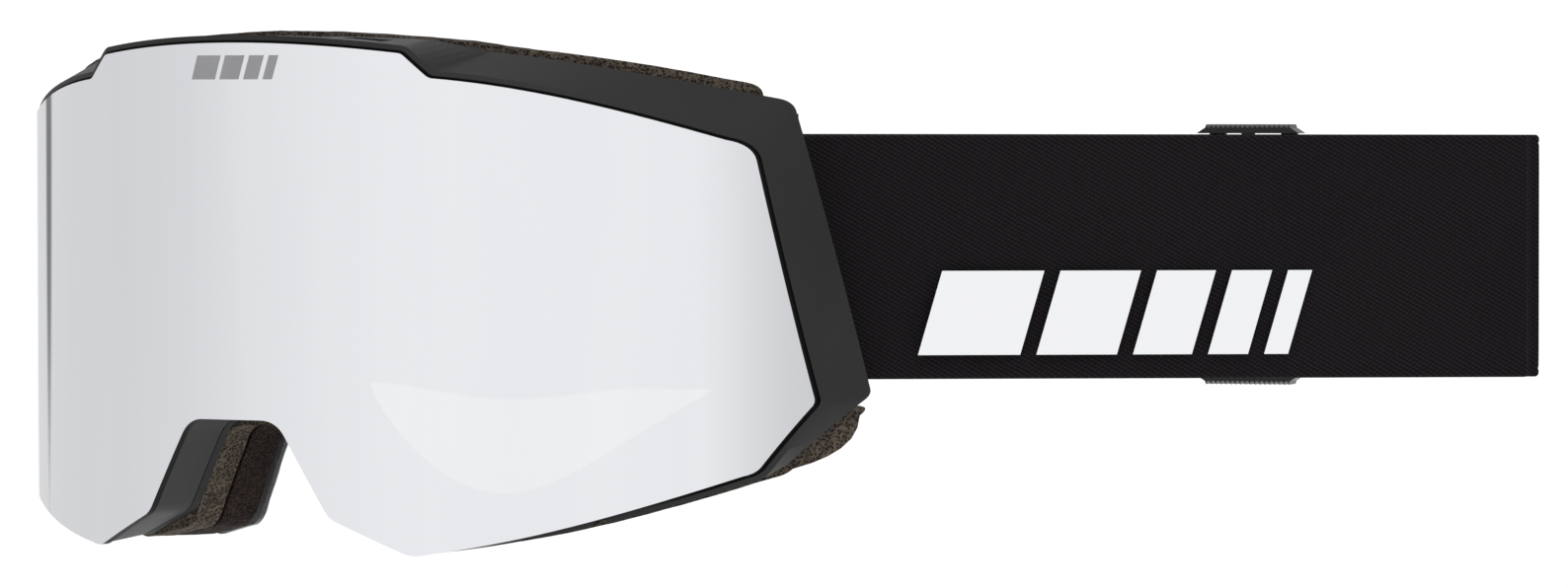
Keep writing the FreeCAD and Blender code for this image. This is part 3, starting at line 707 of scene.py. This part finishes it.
def band_profile():
    """Half section of the webbing: rounded selvage, a stitched groove and a flat field."""
    half_thick = STRAP_THICK / 2
    low, high = STRAP_LOW, STRAP_HIGH
    edge = [(0, 0.1), (0.12, 0.55), (0.5, 0.93), (1.1, 1.0), (1.55, 0.8), (2.0, 0.96)]
    heights = [(low + d, t * half_thick) for d, t in edge]
    heights += [(low + 5 + 35 * k / 10, half_thick) for k in range(11)]
    heights += [(high - d, t * half_thick) for d, t in reversed(edge)]
    return heights


def band(name, points, radii):
    """Flat webbing standing on its edge along a level path."""
    path = rounded_path(points, radii)
    profile = band_profile()
    loop = [(z, t) for z, t in profile] + [(z, -t) for z, t in reversed(profile)]
    mesh_points, faces = [], []
    n, m = len(path), len(loop)
    for i, spot in enumerate(path):
        along = (path[min(i + 1, n - 1)] - path[max(i - 1, 0)]).normalized()
        out = turned(along, math.pi / 2)
        mesh_points += [spot + out * t + Vector((0, 0, z)) for z, t in loop]
    for i in range(n - 1):
        for j in range(m):
            a, b = i * m + j, i * m + (j + 1) % m
            faces.append((a, b, b + m, a + m))
    faces += [tuple(range(m)), tuple(range((n - 1) * m, n * m))]
    return new_piece(name, mesh_points, faces, 50)


out_way = (FOLD_SPOT - BAR).normalized()
out_face = turned(out_way, -math.pi / 2)
right_bar = Vector((-BAR.x, BAR.y, 0))
main_start = BAR + out_face * WRAP
fold = main_start + out_way * out_way.dot(FOLD_SPOT - main_start)
guess = (right_bar - fold).normalized()
fold_turn = math.atan2(guess.y, guess.x) % (2 * math.pi) - math.atan2(out_way.y, out_way.x)
step_long = 2.04 * FOLD_RADIUS * math.tan(fold_turn / 4)
fold_back = fold + turned(out_way, fold_turn / 2) * step_long
back_way = (right_bar - fold_back).normalized()
back_main = right_bar + turned(back_way, -math.pi / 2) * WRAP
back_way = (back_main - fold_back).normalized()
back_face = turned(back_way, -math.pi / 2)
tail_side = -back_face
slide_spot = fold_back + back_way * SLIDER_FROM_FOLD

OUT_TURN = math.atan2(out_way.y, out_way.x)
BACK_TURN = math.atan2(back_way.y, back_way.x)
OUT_CLOTH = webbing_cloth("strap_weave_front", OUT_TURN)
BACK_CLOTH = webbing_cloth("strap_weave_back", BACK_TURN)

SEWN = 24.0
front_points = [
    main_start + out_way * SEWN - out_face * LAYER_PITCH,
    main_start + out_way * 14 - out_face * LAYER_PITCH,
    BAR - out_face * WRAP + out_way * 3,
    BAR - out_face * WRAP - out_way * WRAP,
    BAR + out_face * WRAP - out_way * WRAP,
    fold,
    fold_back,
    fold_back + back_way * 20,
]
front_band = band("strap_front_band", front_points, [8, 6, WRAP, WRAP, FOLD_RADIUS, FOLD_RADIUS])
settle(front_band, None, "strap_web", OUT_CLOTH, "elastic_strap")

JOIN = 40.0
return_points = [fold_back + back_way * 20, back_main - back_way * JOIN]
return_band = band("strap_return_band", return_points, [])
settle(return_band, "goggle_frame", "strap_web", BACK_CLOTH)

tail_line = back_main + tail_side * LAYER_PITCH
loop_points = [
    back_main - back_way * JOIN,
    right_bar + back_face * WRAP + back_way * WRAP,
    right_bar + tail_side * WRAP + back_way * WRAP,
    right_bar + tail_side * WRAP - back_way * 3,
    tail_line - back_way * 16,
    tail_line - back_way * JOIN,
]
right_loop = band("strap_right_loop", loop_points, [WRAP, WRAP, 6, 8])
settle(right_loop, None, "strap_web", BACK_CLOTH)

BAR_HALF = 0.6
TAIL_WRAP = BAR_HALF + 0.15 + STRAP_THICK / 2
tail_stop = slide_spot + tail_side * LAYER_PITCH + back_way * 30
tail_run = band("strap_tail_run", [tail_line - back_way * JOIN, tail_stop], [])
settle(tail_run, None, "strap_web", BACK_CLOTH, "strap_adjusting_tail")
far = back_way * (TAIL_WRAP + 1.2)
end_points = [
    tail_stop,
    slide_spot + tail_side * LAYER_PITCH - far,
    slide_spot + tail_side * (LAYER_PITCH + 2 * TAIL_WRAP) - far,
    slide_spot + tail_side * (LAYER_PITCH + 2 * TAIL_WRAP) + back_way * 5,
    slide_spot + tail_side * (2 * LAYER_PITCH) + back_way * 12,
    slide_spot + tail_side * (2 * LAYER_PITCH) + back_way * (SEWN + 4),
]
tail_end = band("strap_tail_end", end_points, [TAIL_WRAP, TAIL_WRAP, 4, 8])
settle(tail_end, "slider", "strap_web", BACK_CLOTH)


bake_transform(front_band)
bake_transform(right_loop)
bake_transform(tail_run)

# --- CAD nodes that only need a material ------------------------------------------
for node, material, round_edge in (
    ("face_flange", FLANGE_RUBBER, 0.0),
    ("lens_spacer_gasket", GASKET, 0.0),
    ("lens_snap_lugs", FRAME_PLASTIC, 0.2),
    ("hinge_pin_left", STEEL, 0.15),
    ("hinge_pin_right", STEEL, 0.15),
    ("strap_bracket_left", CLIP_PLASTIC, 0.25),
    ("strap_bracket_right", CLIP_PLASTIC, 0.25),
    ("strap_slider", CLIP_PLASTIC, 0.12),
    ("strap_end_stitching", THREAD, 0.1),
    ("tail_end_stitching", THREAD, 0.1),
    ("silicone_grip_lines", SILICONE, 0.2),
    ("strap_emblem", CHROME, 0.22),
    ("top_vent_foam", BROWN_FOAM, 0.0),
    ("bottom_vent_foam_left", BROWN_FOAM, 0.0),
    ("bottom_vent_foam_right", BROWN_FOAM, 0.0),
):
    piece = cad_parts[node]
    paint(piece, material)
    if round_edge:
        bevel(piece, round_edge, 2, 40)


# --- studio -----------------------------------------------------------------------
def add_stage():
    """A pale floor well below the object, which curves up into a backdrop."""
    floor_z, wide, bend = -300, 1500, 1800
    front, rear, top = -2200, 5200, 7000
    away = CAMERA_TARGET - CAMERA_SPOT
    away = Vector((away.x, away.y, 0)).normalized()
    across = Vector((away.y, -away.x, 0))
    line = [(front, floor_z), (rear - bend, floor_z)]
    for k in range(1, 13):
        turn = math.pi / 2 * k / 12
        line.append((rear - bend + bend * math.sin(turn), floor_z + bend * (1 - math.cos(turn))))
    line.append((rear, top))
    points, faces = [], []
    for distance, height in line:
        for s in (-1, 1):
            points.append(away * distance + across * (s * wide) + Vector((0, 0, height)))
    for i in range(len(line) - 1):
        faces.append((2 * i, 2 * i + 1, 2 * i + 3, 2 * i + 2))
    floor = new_piece("studio_floor", points, faces, 60)
    s = Shader("floor_paint", (0.93, 0.93, 0.93), 0.9)
    s.bsdf.inputs["Emission Color"].default_value = (1, 1, 1, 1)
    s.bsdf.inputs["Emission Strength"].default_value = 0.2
    paint(floor, s.material)


def add_card():
    """A low white card that only the lens reflects: a pale shape with a curved lower edge."""
    radius, first, last, count = 300.0, 2.5, 79.0, 36
    top_edge, dip, belly = -25.0, 3.0, 20.0
    points, faces = [], []
    for k in range(count + 1):
        t = k / count
        turn = math.radians(first + (last - first) * t)
        top = top_edge - dip * math.sin(math.pi * min(1.0, t * 1.2)) ** 2
        low = top - belly * math.sin(math.pi * t**0.75)
        for z in (low, top):
            points.append(Vector((radius * math.sin(turn), -radius * math.cos(turn), z)))
    for k in range(count):
        faces.append((2 * k, 2 * k + 2, 2 * k + 3, 2 * k + 1))
    card = new_piece("reflected_card", points, faces)
    s = Shader("card_glow", (0, 0, 0), 1.0, Emission_Color=(1, 1, 1, 1), Emission_Strength=0.985)
    paint(card, s.material)
    card.visible_camera = False
    card.visible_shadow = False
    card.visible_diffuse = False


def add_world():
    """A soft white room, brightest at the wearer's front left and dimmer at the rear left.

    The lens shows the small dark spot at the rear right as an upright line near its edge.
    """
    world = bpy.data.worlds.new("studio")
    scene.world = world
    world.use_nodes = True
    tree = world.node_tree
    coordinates = tree.nodes.new("ShaderNodeTexCoord")

    def facing(degrees):
        turn = math.radians(degrees)
        made = tree.nodes.new("ShaderNodeVectorMath")
        made.operation = "DOT_PRODUCT"
        made.inputs[1].default_value = (math.sin(turn), -math.cos(turn), 0)
        tree.links.new(coordinates.outputs["Generated"], made.inputs[0])
        return made.outputs["Value"]

    def spread(socket, low, high, to_low, to_high):
        made = tree.nodes.new("ShaderNodeMapRange")
        made.interpolation_type = "SMOOTHSTEP"
        limits = {"From Min": low, "From Max": high, "To Min": to_low, "To Max": to_high}
        for word, value in limits.items():
            made.inputs[word].default_value = value
        tree.links.new(socket, made.inputs["Value"])
        return made.outputs["Result"]

    def times(a, b):
        made = tree.nodes.new("ShaderNodeMath")
        made.operation = "MULTIPLY"
        tree.links.new(a, made.inputs[0])
        tree.links.new(b, made.inputs[1])
        return made.outputs["Value"]

    room = spread(facing(36), -0.35, 1.0, 0.755, 0.96)
    side_dim = spread(facing(112), 0.72, 1.0, 1.0, 0.78)
    edge = spread(facing(-113), 0.9985, 0.9998, 1.0, 0.3)
    level = times(times(room, side_dim), edge)
    background = tree.nodes["Background"]
    background.inputs["Color"].default_value = (0.985, 0.99, 1.0, 1)
    tree.links.new(level, background.inputs["Strength"])


def add_light(name, spot, aim, size, power):
    """A rectangular area light that faces aim."""
    data = bpy.data.lights.new(name, "AREA")
    data.shape = "RECTANGLE"
    data.size, data.size_y = size
    data.energy = power
    light = bpy.data.objects.new(name, data)
    light.location = spot
    light.rotation_euler = (Vector(aim) - Vector(spot)).to_track_quat("-Z", "Y").to_euler()
    scene.collection.objects.link(light)
    return light


def add_lights():
    """A key light above the camera, a weak fill at the left and a light behind."""
    aim = (0.05, 0.02, 0)
    key = add_light("key_light", (0.9, -1.0, 1.6), aim, (1.2, 1.0), 14)
    fill = add_light("side_light", (1.8, 0.4, 0.7), aim, (1.0, 1.4), 3)
    back = add_light("back_light", (-0.6, 1.7, 1.1), aim, (1.4, 1.0), 10)
    key.visible_glossy = True
    fill.visible_glossy = True
    back.visible_glossy = False


add_stage()
add_card()
add_world()
add_lights()
scene.view_settings.view_transform = "Standard"
scene.view_settings.look = "None"
